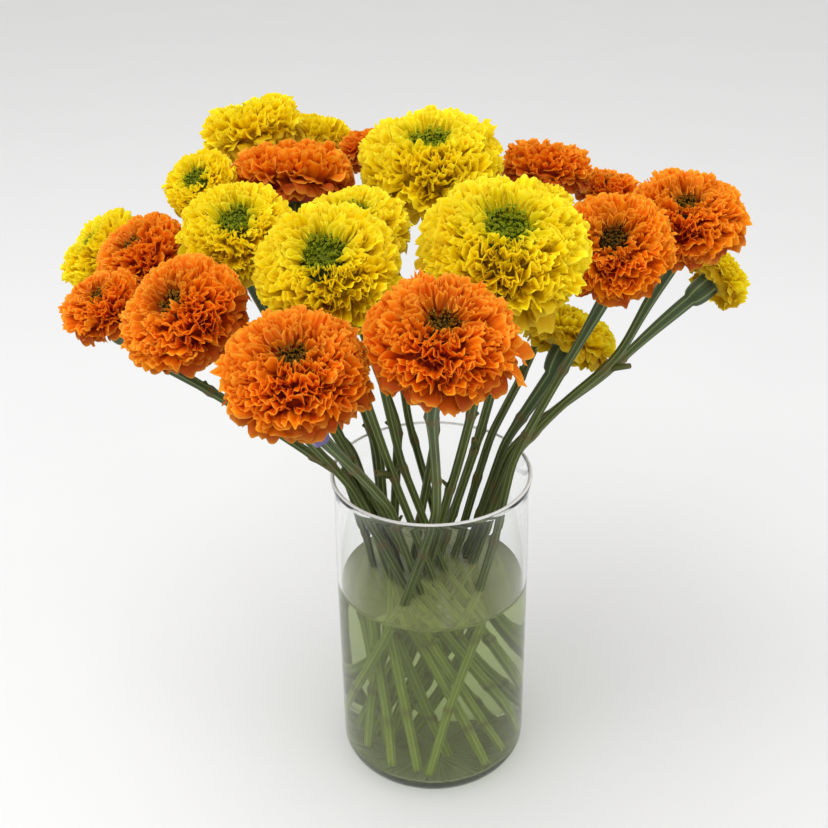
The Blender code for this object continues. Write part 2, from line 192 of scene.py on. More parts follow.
# Name, colour, middle of the head in mm, head radius in mm, azimuth and elevation that it faces
FLOWERS = (
    ("front_left", "orange", (-68, -127, 354), 36, -100, 72),
    ("front_mid", "orange", (3, -131, 372), 36, -76, 70),
    ("left", "orange", (-131, -72, 361.5), 34, -138, 56),
    ("far_left", "orange", (-181, -40, 353.5), 23, -150, 66),
    ("left_upper", "orange", (-168, 10, 363.5), 28, -155, 59),
    ("right", "orange", (153, 35, 372.5), 34, -88, 72),
    ("right_mid", "orange", (104, -13, 372), 31, -107, 54),
    ("top_right", "orange", (77, 98, 385), 28, 56, 77),
    ("back_right", "orange", (119, 113, 365), 20, 36, 81),
    ("top_left", "orange", (-82, 63, 388), 38, 92, 56),
    ("back", "orange", (-34, 137, 385), 23, 92, 62),
    ("mid_left", "yellow", (-55, -61, 381.5), 38, -103, 60),
    ("inner_left", "yellow", (-107, -12, 384), 32, -92, 64),
    ("centre", "yellow", (39, -53, 389.5), 47, -77, 71),
    ("top", "yellow", (2, 73, 396), 44, -107, 80),
    ("behind_mid", "yellow", (-42, 7, 378.5), 31, -103, 79),
    ("small_left", "yellow", (-134, 36, 396), 22, -123, 52),
    ("back_top_left", "yellow", (-112, 125, 405), 32, 149, 75),
    ("back_left", "yellow", (-73, 168, 386), 24, 70, 59),
    ("low_right", "yellow", (192, 90, 311), 22, 25, 30),
    ("under_right", "yellow", (91, 50, 289), 29, 44, 51),
    ("behind_left", "yellow", (-203, 60, 346.5), 29, -171, 50),
    ("behind_right", "yellow", (65, 48, 377), 23, 32, 79),
)

# Florets from the shoulder in to the eye: rank, tip (radius, height), root (radius, height),
# bend (radius, height), half width
DOME = np.array((
    (0.00, 1.05, 0.40, 0.20, 0.12, 0.78, 0.28, 0.170),
    (0.18, 1.04, 0.58, 0.19, 0.18, 0.78, 0.34, 0.166),
    (0.38, 0.95, 0.76, 0.18, 0.24, 0.72, 0.42, 0.154),
    (0.58, 0.81, 0.89, 0.17, 0.32, 0.62, 0.51, 0.136),
    (0.76, 0.65, 0.95, 0.16, 0.40, 0.50, 0.58, 0.114),
    (0.90, 0.49, 0.95, 0.15, 0.48, 0.38, 0.66, 0.090),
    (1.00, 0.33, 0.89, 0.14, 0.54, 0.26, 0.68, 0.070),
))
DOME_ROWS = np.array((0.48, 0.66, 0.80, 0.91, 1.0))
DOME_COLUMNS = 17
# The florets of a head of the usual radius. Bigger heads have more and narrower ones
USUAL_RADIUS = 36 * MM
DOME_COUNT = 250
SKIRT_COUNT = 62
COUNT_GROWTH = 1.3
WIDTH_GROWTH = -0.4
# Ruffles across a floret's edge: shares of its own number of waves and of their depth
RUFFLES = ((0.45, 0.75), (1.0, 0.85))
RUFFLE_DEPTHS = (0.4, 1.4)
RUFFLE_SLANT = 1.5
# Shares of the blade's width, of the floret's length and of its half width
ROOT_WIDTH = 0.22
CORNER_LOSS = 0.18
NOTCH_WIDTH = 0.20
# Where, from root 0 to tip 1, each of a floret's forms sets in and is full
BLADE_OPENS = (0.10, 0.80)
TIP_NARROWS = (0.86, 1)
EDGE_FORMS = (0.50, 1)
RUFFLES_GROW = (0.40, 1)
TIP_CURLS = (0.62, 1)
SHEET_ROLLS = (0.2, 0.8)
# The spread of chance in a floret's forms, and in its turn about the head
WIDTH_SPREAD = 0.20
NOTCH_PLACE_SPREAD = 0.2
NOTCH_DEPTH_SPREAD = 0.4
WAVE_SPREAD = 0.15
LEAN_SPREAD = 0.06
DOME_SWAY = 0.12
SKIRT_SWAY = 0.15
# How florets are formed. cup and curl are a middle value and a spread, roll and size are spreads
DOME_HABIT = dict(
    ruffle=0.050, waves=2.4, notch=0.05, cup=(0.10, 0.40), curl=(-0.04, 0.05), roll=0.45,
    size=0.032, narrow=1.0,
)
SKIRT_HABIT = dict(
    ruffle=0.032, waves=2.0, notch=0.06, cup=(-0.20, 0.35), curl=(0.0, 0.05), roll=0.28,
    size=0.05, narrow=0.8,
)
STRAY_HABIT = dict(
    ruffle=0.04, waves=1.5, notch=0.06, cup=(0.5, 0.2), curl=(-0.06, 0.04), roll=0.3,
    size=0.04, narrow=0.85,
)
# How much deeper than the others the florets at the eye are cupped
EYE_CUP = 0.6
# The broad florets of the skirt, lowest to highest
SKIRT = np.array((
    (0.00, 0.80, -0.17, 0.22, 0.02, 0.92, 0.42, 0.24),
    (0.40, 0.96, -0.04, 0.22, 0.05, 0.98, 0.46, 0.25),
    (0.75, 1.04, 0.16, 0.21, 0.08, 0.92, 0.42, 0.23),
    (1.00, 1.07, 0.34, 0.20, 0.10, 0.84, 0.36, 0.20),
))
SKIRT_ROWS = np.array((0.30, 0.52, 0.70, 0.84, 0.94, 1.0))
SKIRT_COLUMNS = 13
# Loose florets at the edge of a head, and their turns in degrees about its axis
STRAY = np.array((
    (0.00, 1.36, 0.10, 0.22, 0.10, 1.00, 0.50, 0.17),
    (1.00, 1.26, 0.00, 0.22, 0.10, 1.00, 0.44, 0.13),
))
STRAY_TURNS = {"front_mid": (340, 326), "low_right": (298,)}

# The eye's radius, height and number of florets. The dome's table is drawn for an eye of the usual share
EYE_SHARE = {"orange": 0.20, "yellow": 0.30}
EYE_HEIGHT = {"orange": 0.72, "yellow": 0.76}
EYE_FLORETS = {"orange": 80, "yellow": 130}
USUAL_EYE = 0.22
EYE_SIDES = 5
# A floret of the eye from its foot to inside its mouth: radius, height and how light it is, as shares. At 0,
# at its foot and inside its mouth, it takes the painted shade of the hollows
EYE_RINGS = np.array(((0.66, 0.0, 0.0), (0.72, 0.72, 0.40), (1.25, 1.0, 1.0), (0.45, 0.70, 0.0)))
# The bed that they stand in: share of the eye's radius, distance below its height
EYE_BED = np.array(((1.35, 0.14), (1.15, 0.08), (0.8, 0.05), (0.4, 0.05), (0.02, 0.05)))
BED_SIDES = 20
# The core under the florets, up to its shoulder: radius, height
CORE_SHOULDER = (
    (0.20, 0.04), (0.48, 0.06), (0.66, 0.16), (0.72, 0.32), (0.66, 0.48), (0.52, 0.57), (0.40, 0.60),
)
CORE_SIDES = 28


class Flowers:
    """The heads' middles, radii and facings, and the neck that each stem has to reach."""

    def __init__(self):
        self.heads = np.array([row[2] for row in FLOWERS]) * MM
        self.radii = np.array([row[3] for row in FLOWERS]) * MM
        self.axes = np.array([facing(row[4], row[5]) for row in FLOWERS])
        self.seats = self.heads - self.axes * (SEAT_BELOW_CENTRE * self.radii)[:, None]
        self.necks = self.seats - self.axes * CALYX_LENGTH
        self.count = len(FLOWERS)


def facing(azimuth, elevation):
    """The direction with an azimuth and an elevation in degrees."""
    a, e = math.radians(azimuth), math.radians(elevation)
    return np.array([math.cos(e) * math.cos(a), math.cos(e) * math.sin(a), math.sin(e)])


def head_balls(flowers):
    """Seven balls fill each head: one in the middle and six round it. Stems keep clear of them."""
    centres = []
    turns = [k * math.pi / 3 for k in range(6)]
    for axis, radius, head in zip(flowers.axes, flowers.radii, flowers.heads):
        across = np.cross(axis, [0, 0, 1.0])
        across /= np.linalg.norm(across)
        over = np.cross(axis, across)
        reach = radius - HALF_THICKNESS * radius
        centres.append(head)
        centres += [head + reach * (across * math.cos(t) + over * math.sin(t)) for t in turns]
    sizes, owner = (np.repeat(v, 7) for v in (HALF_THICKNESS * flowers.radii, range(flowers.count)))
    return np.array(centres), sizes, owner


def reach_towards(flowers, i, ways):
    """How far the tips of head i reach from its middle, each way."""
    along = ways @ flowers.axes[i]
    across = np.sqrt(1 - along**2)
    reach = [(out + RUFFLE_ROOM) * across + (up - SEAT_BELOW_CENTRE) * along for out, up in TIER_TIPS]
    return flowers.radii[i] * (np.max(reach, axis=0) + RUFFLE_ROOM * np.abs(along))


def partings(flowers):
    """For each head, the planes that part it from the heads it presses on: (outward normal, distance)."""
    rank = np.arange(WAYS_TRIED) + 0.5
    turn = math.pi * (1 + math.sqrt(5)) * rank
    level = 1 - 2 * rank / WAYS_TRIED
    ways = np.stack([np.cos(turn), np.sin(turn), level], 1)
    ways[:, :2] *= np.sqrt(1 - level**2)[:, None]
    planes = [[] for _ in range(flowers.count)]
    for i in range(flowers.count):
        for j in range(i + 1, flowers.count):
            here, there = (reach_towards(flowers, k, ways) for k in (i, j))
            between = ways @ (flowers.heads[j] - flowers.heads[i])
            best = np.argmax(between - here - there)
            slack = (between - here - there)[best] - HEADS_APART
            if slack < 0:
                planes[i].append((ways[best], here[best] + slack / 2))
                planes[j].append((-ways[best], there[best] + slack / 2))
    return planes


def swing(x, y, turn):
    """x and y turned about the origin."""
    c, s = np.cos(turn), np.sin(turn)
    return x * c - y * s, x * s + y * c


def circle(count):
    """Turns evenly spaced round a circle."""
    return np.linspace(0, 2 * math.pi, count, endpoint=False)


def hermite(start, end, leave, arrive, count):
    """A curve that leaves start one way and arrives at end another way."""
    s = np.linspace(0, 1, count)[:, None]
    return (
        (2 * s**3 - 3 * s**2 + 1) * start
        + (s**3 - 2 * s**2 + s) * leave
        + (3 * s**2 - 2 * s**3) * end
        + (s**3 - s**2) * arrive
    )


def straight_stems(flowers):
    """Each stem's foot and its point in the mouth, in plan, if it runs straight to the far side of the floor.

    The outer heads' stems can't, so they cross the mouth at its edge.
    """
    plan = flowers.necks[:, :2]
    out = np.linalg.norm(plan, axis=1)[:, None]
    foot = FAR_FOOT * np.minimum(1, out / WIDE_NECK)
    share = (VASE_HEIGHT - FOOT_HEIGHT) / (flowers.necks[:, 2:] - FOOT_HEIGHT)
    mouth = np.minimum(MOUTH_REACH, (out + foot) * share - foot)
    return -plan / out * foot, plan / out * mouth


def held_in(points, reach):
    """Points in plan, with those beyond reach drawn in to it."""
    out = np.maximum(np.linalg.norm(points, axis=1), MM)[:, None]
    return points * np.minimum(1, reach / out)


def crossing_stems(flowers):
    """Each stem's foot and its point in the mouth, in plan.

    The stems start about straight. Then they are pushed apart until no two come closer than the
    gap, while their feet are drawn to where the stems would be straight.
    """
    feet, start = straight_stems(flowers)
    turn = np.random.default_rng(CROSSING_SEED).uniform(-FOOT_TURN, FOOT_TURN, flowers.count)
    feet = np.stack(swing(feet[:, 0], feet[:, 1], turn), 1)
    mouth = start.copy()
    first, second = np.triu_indices(flowers.count, 1)
    need = 2 * ROUTE_RADIUS + VASE_GAP
    for k in range(CROSSING_ROUNDS):
        low, high = feet[first] - feet[second], mouth[first] - mouth[second]
        run = high - low
        share = np.clip(-(low * run).sum(1) / (run**2).sum(1), 0, 1)[:, None]
        near = low + run * share
        length = np.linalg.norm(near, axis=1)[:, None]
        if length.min() >= need:
            break
        push = near / length * np.clip(OVERSHOOT * need - length, 0, None)
        for points, move in ((feet, FOOT_EASE * (1 - share) * push), (mouth, MOUTH_EASE * share * push)):
            np.add.at(points, first, move)
            np.add.at(points, second, -move)
        lean = (flowers.necks[:, :2] - mouth) / (flowers.necks[:, 2:] - VASE_HEIGHT)
        straight = held_in(mouth - lean * (VASE_HEIGHT - FOOT_HEIGHT), FOOT_REACH)
        feet += FOOT_PULL * max(0, 1 - k / PULL_ROUNDS) * (straight - feet)
        mouth += MOUTH_RETURN * (start - mouth)
        feet, mouth = held_in(feet, FOOT_REACH), held_in(mouth, MOUTH_REACH)
    return feet, mouth


def pushed(points, others, need, spared):
    """How far others push points that are nearer than they need be, but for the spared ones."""
    apart = points[:, None] - others[None]
    length = np.maximum(np.linalg.norm(apart, axis=2), 1e-6)
    push = np.where(spared, 0, np.clip(need - length, 0, None))
    return (apart / length[..., None] * push[..., None]).sum(1)


def stem_routes(flowers):
    """The feet, and each stem's points from the vase's mouth to its neck.

    Above the mouth the stems are eased off each other and the heads.
    """
    count = flowers.count
    under, across = crossing_stems(flowers)
    feet = np.concatenate([under, np.full((count, 1), FOOT_HEIGHT)], 1)
    mouth = np.concatenate([across, np.full((count, 1), VASE_HEIGHT)], 1)
    rise = mouth - feet
    rise /= np.linalg.norm(rise, axis=1)[:, None]
    span = np.linalg.norm(flowers.necks - mouth, axis=1)[:, None]
    ends = zip(mouth, flowers.necks, rise * span * LEAVE_PULL, flowers.axes * span * ARRIVE_PULL)
    routes = np.array([hermite(*four, ROUTE_POINTS) for four in ends])
    balls, sizes, owner = head_balls(flowers)
    stem_of = np.repeat(np.arange(count), ROUTE_POINTS)
    same_stem = stem_of[:, None] == stem_of[None]
    own_head = stem_of[:, None] == owner[None]
    free = np.sin(np.linspace(0, math.pi, ROUTE_POINTS)) ** 0.5
    free[[0, -1]] = 0
    for _ in range(ROUTE_ROUNDS):
        points = routes.reshape(-1, 3)
        move = STEM_EASE * pushed(points, points, 2 * ROUTE_RADIUS + STEM_GAP, same_stem)
        move += HEAD_EASE * pushed(points, balls, sizes + ROUTE_RADIUS + HEAD_GAP, own_head)
        move = move.reshape(count, ROUTE_POINTS, 3) * free[None, :, None]
        for _ in range(MOVE_SMOOTHING):
            move[:, 1:-1] = (move[:, :-2] + 2 * move[:, 1:-1] + move[:, 2:]) / 4
        routes = routes + move
        routes[:, 2:-2] += ROUTE_EVENING * ((routes[:, 1:-3] + routes[:, 3:-1]) / 2 - routes[:, 2:-2])
    return feet, routes


# Meshes

def smoothstep(low, high, x):
    """Grows smoothly from 0 at low to 1 at high."""
    x = np.clip((x - low) / (high - low), 0, 1)
    return x * x * (3 - 2 * x)


def lerp(low, high, share):
    """The value at a share of the way from low to high."""
    return low + (high - low) * share


def as_points(x, y, z):
    return np.stack(np.broadcast_arrays(x, y, z), -1)


class Build:
    """Points, four-sided faces and point attributes gathered for one mesh."""

    def __init__(self, *attributes):
        self.points, self.faces, self.total = [], [], 0
        self.values = {name: [] for name in attributes}

    def add(self, points, closed=True, flip=False, **values):
        """Adds sheets of rows by columns points. An attribute that isn't given is 0.

        closed joins the last column to the first, and flip turns the faces over.
        """
        rows, columns = points.shape[-3:-1]
        faces = grid_faces(points.size // (3 * rows * columns), rows, columns, closed)
        self.points.append(points.reshape(-1, 3))
        self.faces.append((faces[:, ::-1] if flip else faces) + self.total)
        count = len(self.points[-1])
        for name, held in self.values.items():
            held.append(np.broadcast_to(values.get(name, 0.0), points.shape[:-1]).reshape(count))
        self.total += count

    def mesh(self, name):
        mesh = bpy.data.meshes.new(name)
        mesh.from_pydata(np.concatenate(self.points), [], np.concatenate(self.faces))
        for key, held in self.values.items():
            layer = mesh.attributes.new(key, "FLOAT", "POINT")
            layer.data.foreach_set("value", np.concatenate(held).astype(np.float32))
        mesh.validate()
        mesh.shade_smooth()
        return mesh


def grid_faces(sheets, rows, columns, closed):
    """Four-sided faces of some sheets of rows by columns points."""
    across = columns if closed else columns - 1
    r, c = np.meshgrid(np.arange(rows - 1), np.arange(across), indexing="ij")
    next_c = (c + 1) % columns
    low, high = r * columns, (r + 1) * columns
    one = np.stack([low + c, low + next_c, high + next_c, high + c], -1).reshape(-1, 4)
    return (one[None] + (np.arange(sheets) * rows * columns)[:, None, None]).reshape(-1, 4)


def add_object(name, data):
    made = bpy.data.objects.new(name, data)
    bpy.context.scene.collection.objects.link(made)
    return made


def add_piece(name, mesh, finish, slot, *nodes):
    """Puts a mesh in the scene with its finish, in place of the nodes it replaces. The slot is not used."""
    piece = add_object(name, mesh)
    mesh.materials.append(finish)
    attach(piece, "root")
    if nodes:
        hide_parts(*nodes)


def upright_matrix(axis):
    """Columns are a head's own X, Y and Z directions."""
    return np.array(Vector(axis).to_track_quat("Z", "Y").to_matrix())


# Heads

def bent(s, root, bend, tip):
    """The place and the run, at a share s of its length, of a line that bends on its way from root to tip."""
    place = (1 - s) ** 2 * root + 2 * s * (1 - s) * bend + s**2 * tip
    return place, (1 - s) * (bend - root) + s * (tip - bend)


class Florets:
    """Ray florets of a head of radius 1 in its own frame, each a sheet of rows by columns.

    A floret runs from its root past its bend to its tip. It is notched, ruffled, cupped, rolled
    and curled, each with its own chance.
    """

    def __init__(self, table, usual_count, rows, columns, growth, chance):
        self.count, self.chance = round(usual_count * growth**COUNT_GROWTH), chance
        self.rank = (np.arange(self.count) + 0.5) / self.count
        self.shape = [np.interp(self.rank, table[:, 0], column)[:, None, None] for column in table[:, 1:].T]
        self.shape[-1] = self.shape[-1] * growth**WIDTH_GROWTH
        self.across = np.linspace(-1, 1, columns)[None, None, :]
        self.along = rows[None, :, None]

    def spread(self, size):
        """A share of chance for each floret, at most twice size."""
        return self.chance.normal(0, size, self.count).clip(-2 * size, 2 * size)[:, None, None]

    def range(self, low, high):
        """A value between low and high for each floret."""
        return self.chance.uniform(low, high, self.count)[:, None, None]

    def sheets(self, turn, ruffle, waves, notch, cup, curl, roll, size, narrow):
        """The florets' points, how far along their length each one is, and how near to their rim."""
        tip_out, tip_up, root_out, root_up, bend_out, bend_up, wide = self.shape
        across, along, spread = self.across, self.along, self.spread
        grow = 1 + spread(size)
        tip_out, tip_up = tip_out * grow, tip_up * grow + spread(0.6 * size)
        bend_out = bend_out + spread(1.3 * size)
        bend_up = bend_up + spread(1.3 * size)
        wide = wide * (1 + spread(WIDTH_SPREAD))
        place = spread(NOTCH_PLACE_SPREAD)
        dents = notch * (1 + spread(NOTCH_DEPTH_SPREAD)) * np.exp(-(((across - place) / NOTCH_WIDTH) ** 2))
        length = 1 - CORNER_LOSS * across**6 - dents
        s = along * lerp(1, length, smoothstep(*EDGE_FORMS, along))
        out, run_out = bent(s, root_out, bend_out, tip_out)
        up, run_up = bent(s, root_up, bend_up, tip_up)
        run = np.sqrt(run_out**2 + run_up**2)
        face_out, face_up = -run_up / run, run_out / run
        blade = lerp(ROOT_WIDTH, 1, smoothstep(*BLADE_OPENS, along))
        blade = blade * lerp(1, narrow, smoothstep(*TIP_NARROWS, along))
        side = across * wide * blade
        wave = 0
        for pace, weight in RUFFLES:
            start = self.range(0, 2 * math.pi)
            phase = math.pi * pace * waves * (1 + spread(WAVE_SPREAD)) * across + start
            wave = wave + weight * np.sin(phase + RUFFLE_SLANT * along)
        depth = ruffle * self.range(*RUFFLE_DEPTHS) * smoothstep(*RUFFLES_GROW, along)
        lift = wave * depth + (cup[0] + spread(cup[1])) * wide * blade * across**2
        lift = lift + (curl[0] + spread(curl[1])) * smoothstep(*TIP_CURLS, along) ** 2
        angle = spread(roll) * smoothstep(*SHEET_ROLLS, along)
        side, lift = swing(side, lift, angle)
        side = side + spread(LEAN_SPREAD) * s**2
        out = out + face_out * lift
        up = up + face_up * lift
        x, y = swing(out, side, turn)
        at_tip = smoothstep(0.88, 1, along)
        at_side = smoothstep(0.80, 1, np.abs(across)) * smoothstep(0.5, 0.8, along)
        return as_points(x, y, up), s, np.maximum(at_tip, at_side)

    def turns(self, sway):
        """The florets' turns about the head's axis, so that no two lie over each other."""
        return (np.arange(self.count) * GOLDEN)[:, None, None] + self.spread(sway)


def press_back(points, middle, planes):
    """Eases points past a plane between two heads back to their own side."""
    for normal, limit in planes:
        far = (points - middle) @ normal
        over = np.maximum(far - (limit - SQUEEZE), 0)
        eased = SQUEEZE * (1 - np.exp(-over / SQUEEZE))
        points = points - normal * (over - eased)[..., None]
    return points


def head_core(style):
    """The crowded inner parts of the florets as one rough surface, and which of its rows lie at the eye."""
    share, top = EYE_SHARE[style], EYE_HEIGHT[style]
    under_eye = ((share + 0.04, top - 0.18), (0.6 * share, top - 0.14), (0.01, top - 0.12))
    profile = np.array(CORE_SHOULDER + under_eye)
    turn = circle(CORE_SIDES)
    out, up = profile[:, :1], profile[:, 1:]
    rough = 1 + 0.05 * np.sin(7 * turn[None] + 9 * up) * (out > 0.3)
    points = as_points(*swing(out * rough, 0, turn), up)
    near_eye = (np.arange(len(profile)) >= len(CORE_SHOULDER))[:, None]
    return points, near_eye


def eye_florets(style, chance):
    """Small open tubes with flared mouths, lowest in the middle of the eye.

    Also how light each ring is, and each tube's rank from the middle out.
    """
    count = EYE_FLORETS[style]

    def spread(size):
        return chance.normal(0, size, (count, 1, 1))

    number = np.arange(count)[:, None, None]
    rank = (number + 0.5) / count
    place = EYE_SHARE[style] * np.sqrt(rank) * (1 + spread(0.05))
    turn = number * GOLDEN + spread(0.12)
    thick = EYE_SHARE[style] / math.sqrt(count) * (0.68 + 0.20 * rank) * (1 + spread(0.15))
    tall = 0.08 + 0.04 * rank + spread(0.022)
    lean_out, lean_round = 0.3 * rank + spread(0.22), spread(0.25)
    around = circle(EYE_SIDES)
    ring_out, ring_up, depth = (column[None, :, None] for column in EYE_RINGS.T)
    uneven = 1 + chance.normal(0, 0.14, (count, 1, EYE_SIDES)) * (ring_up == 1)
    r = ring_out * thick * uneven
    h = ring_up * tall
    x = place + r * np.cos(around) + lean_out * h
    y = r * np.sin(around) + lean_round * h
    up = EYE_HEIGHT[style] - 0.10 + 0.05 * rank + h
    return as_points(*swing(x, y, turn), up), depth, rank


def eye_bed(style):
    """The bed that the eye's florets stand in, dark with painted shade."""
    out = EYE_SHARE[style] * EYE_BED[:, :1]
    up = EYE_HEIGHT[style] - EYE_BED[:, 1:]
    turn = circle(BED_SIDES)
    return as_points(*swing(out, 0, turn), up)


def make_head(flowers, i, planes, finishes):
    """One head: its ray florets with their core, and the florets in its eye."""
    place, style = FLOWERS[i][:2]
    chance = np.random.default_rng(HEAD_SEED + i)
    size = HEAD_SCALES.get(place, HEAD_SCALE) * flowers.radii[i]
    turn_up = upright_matrix(flowers.axes[i])
    rays = Build("inner", "along", "across", "tone_and_painted_light", "rim")

    def to_world(points):
        return press_back(flowers.seats[i] + size * points @ turn_up.T, flowers.heads[i], planes)

    def add_rays(florets, turn, habit, inner, tone_and_painted_light=None):
        points, along, rim = florets.sheets(turn, **habit)
        if tone_and_painted_light is None:
            # Each floret's own random tone, plus its head's painted light (above 0) or painted shade (below
            # 0)
            tone_and_painted_light = HEAD_PAINTED_LIGHT.get(place, 0.0) + florets.range(-1, 1)
        values = dict(inner=inner, along=along, across=florets.across, tone_and_painted_light=tone_and_painted_light, rim=rim)
        rays.add(to_world(points), closed=False, **values)

    growth = flowers.radii[i] / USUAL_RADIUS
    dome = Florets(DOME, DOME_COUNT, DOME_ROWS, DOME_COLUMNS, growth, chance)
    near_eye = smoothstep(0.72, 1.0, dome.rank)[:, None, None]
    dome.shape[0] = dome.shape[0] + (EYE_SHARE[style] - USUAL_EYE) * near_eye
    cup, cup_spread = DOME_HABIT["cup"]
    habit = {**DOME_HABIT, "cup": (cup + EYE_CUP * near_eye, cup_spread)}
    add_rays(dome, dome.turns(DOME_SWAY), habit, 0.2 + 0.8 * dome.rank[:, None, None])
    skirt = Florets(SKIRT, SKIRT_COUNT, SKIRT_ROWS, SKIRT_COLUMNS, growth, chance)
    add_rays(skirt, skirt.turns(SKIRT_SWAY), SKIRT_HABIT, 0.15 * skirt.rank[:, None, None])
    turns = np.radians(STRAY_TURNS.get(place, ()))
    if len(turns):
        stray = Florets(STRAY, len(turns), SKIRT_ROWS, SKIRT_COLUMNS, 1.0, chance)
        add_rays(stray, turns[:, None, None], STRAY_HABIT, 0.2, 0.3)
    core, core_near_eye = head_core(style)
    # The core takes the dark root colour of the ramp: painted shade in the gaps between the florets
    rays.add(to_world(core), inner=0.5 + 0.5 * core_near_eye, along=0.1)
    petals = rays.mesh("petals")
    add_piece(f"petals_{style}_{place}", petals, finishes[style], style + "_petals", f"head_{style}_{place}")

    eye = Build("depth", "inner")
    points, depth, rank = eye_florets(style, chance)
    eye.add(to_world(points), depth=depth, inner=1 - rank)
    # The bed takes nearly the hollows' colour: painted shade under the florets
    eye.add(to_world(eye_bed(style)), depth=0.05, inner=1.0)
    add_piece(f"eye_{style}_{place}", eye.mesh("eye"), finishes["eye_" + style], "stem")


# Stems

def tube(path, radii, sides, ridges, ridge_height):
    """Rings round a path with a closed foot, and how far up a ridge each point is, -1 in a groove to 1."""
    ahead = np.gradient(path, axis=0)
    ahead /= np.linalg.norm(ahead, axis=1)[:, None]
    over = np.cross(ahead[0], [1.0, 0.3, 0.2])
    around = circle(sides)
    rise = np.cos(ridges * around)
    rings = np.empty((len(path) + 1, sides, 3))
    rings[0] = path[0]
    for k, (point, way, radius) in enumerate(zip(path, ahead, radii)):
        over = over - way * (over @ way)
        over /= np.linalg.norm(over)
        other = np.cross(way, over)
        reach = (radius * (1 + ridge_height * rise))[:, None]
        rings[k + 1] = point + reach * (np.cos(around)[:, None] * over + np.sin(around)[:, None] * other)
    return rings, np.broadcast_to(rise, rings.shape[:2])


def distances(points):
    """The distance run along a line at each of its points."""
    steps = np.linalg.norm(np.diff(points, axis=0), axis=1)
    return np.concatenate([[0], np.cumsum(steps)])


def points_at(at, run, points):
    """The points of a line at some distances along it."""
    return np.stack([np.interp(at, run, points[:, k]) for k in range(3)], 1)


def even_path(points, spacing):
    """The same line with its points evenly spaced, and the distance run at each."""
    run = distances(points)
    count = max(4, int(run[-1] / spacing))
    at = np.linspace(0, run[-1], count)
    path = points_at(at, run, points)
    for _ in range(PATH_SMOOTHING):
        path[1:-1] = (path[:-2] + 2 * path[1:-1] + path[2:]) / 4
    return path, at


def knot_places(length, chance):
    """Distances up a stem of its knots, where leaves grew."""
    places = [chance.uniform(*FIRST_KNOT) * MM]
    while places[-1] < length - LAST_KNOT * MM:
        places.append(places[-1] + chance.uniform(*KNOT_STEP) * MM)
    return np.array(places)


def below_water(points):
    """0 above the water and 1 below it."""
    return smoothstep(WATER_LEVEL + UNDERWATER_FADE_ABOVE, WATER_LEVEL - UNDERWATER_FADE_BELOW, points[..., 2])


def make_stem(flowers, i, foot, route, finish):
    """One ribbed stem with its knots, stubs, thickened neck and toothed calyx."""
    place, style = FLOWERS[i][:2]
    chance = np.random.default_rng(STEM_SEED + i)
    axis = flowers.axes[i]
    path, run = even_path(np.concatenate([[foot], route]), RING_SPACING)
    length = run[-1]
    knots = knot_places(length, chance)
    at_knot = np.exp(-(((run[:, None] - knots[None]) / KNOT_LENGTH) ** 2)).sum(1)
    shifts = chance.normal(0, KNOT_BEND, (len(knots) + 2, 3))
    shifts[[0, -1]] = 0
    stops = np.concatenate([[0], knots, [length]])
    path = path + points_at(run, stops, shifts)
    radii = STEM_RADIUS * (chance.uniform(*STEM_SPREAD) + KNOT_SWELL * at_knot)
    radii = radii + (NECK_RADIUS - STEM_RADIUS) * smoothstep(length - NECK_TAPER, length, run)
    calyx = flowers.necks[i] + axis * (CALYX_PROFILE[:, :1] * CALYX_LENGTH)
    whole = np.concatenate([path, calyx])
    radii = np.concatenate([radii, CALYX_PROFILE[:, 1] * CALYX_RADIUS])
    stem = Build("ridge", "knot", "under", "neck")
    rings, ridge = tube(whole, radii, STEM_SIDES, STEM_RIBS, RIB_HEIGHT)
    sets_in, full = NECK_COLOURED
    neck = smoothstep(length - sets_in, length - full, run)
    neck = np.concatenate([[0], neck, np.ones(len(calyx))])[:, None]
    knot = np.concatenate([[0.6], at_knot, np.zeros(len(calyx))])[:, None]
    stem.add(rings, ridge=ridge, knot=knot, under=below_water(rings), neck=neck)
    for k, where in enumerate(knots):
        add_stub(stem, path, run, where, k, chance)
    add_teeth(stem, flowers, i, chance)
    add_piece(f"green_{style}_{place}", stem.mesh("green"), finish, "stem", f"stem_{style}_{place}")


def add_stub(stem, path, run, where, k, chance):
    """The stub of a leaf or a side shoot at a knot, cut or torn off."""
    at = np.searchsorted(run, where)
    start = path[at]
    way = path[at + 1] - path[at - 1]
    way /= np.linalg.norm(way)
    turn = k * STUB_TURN + chance.uniform(0, 1.5)
    side = np.cross(way, [math.cos(turn), math.sin(turn), 0.3])
    side /= np.linalg.norm(side)
    low, high, thick = STUBS[np.searchsorted(STUB_SHARES, chance.uniform())]
    long = chance.uniform(low, high)
    line = start + side * STEM_RADIUS * 0.7 + (side * 0.7 + way * 0.7) * long * STUB_PROFILE[:, :1]
    rings, ridge = tube(line, thick * STUB_PROFILE[:, 1], STUB_SIDES, 3, 0.1)
    stem.add(rings, ridge=ridge * 0.3, knot=STUB_BROWN[:, None], under=below_water(rings))


def add_teeth(stem, flowers, i, chance):
    """The pointed teeth round the calyx's edge, bent out under the lowest florets."""
    turn = (np.arange(CALYX_TEETH) * 2 * math.pi / CALYX_TEETH + chance.uniform(0, 1))[:, None, None]
    across = np.linspace(-1, 1, 5)[None, None, :]
    along = np.array((-0.3, 0.0, 0.4, 0.75, 1.0))[None, :, None]
    above = np.clip(along, 0, 1)
    wide = TOOTH_HALF_WIDTH * np.sqrt(np.clip(1.02 - along, 0, 1))
    out = CALYX_RADIUS + 0.3 * MM + TOOTH_BEND * above**2 - 0.4 * MM * across**2
    up = 0.2 * MM + TOOTH_LENGTH * along - 0.5 * TOOTH_LENGTH * above**2
    side = across * wide
    points = as_points(*swing(out, side, turn), up) @ upright_matrix(flowers.axes[i]).T
    stem.add(points + flowers.seats[i], closed=False, ridge=0.2, neck=1.0)


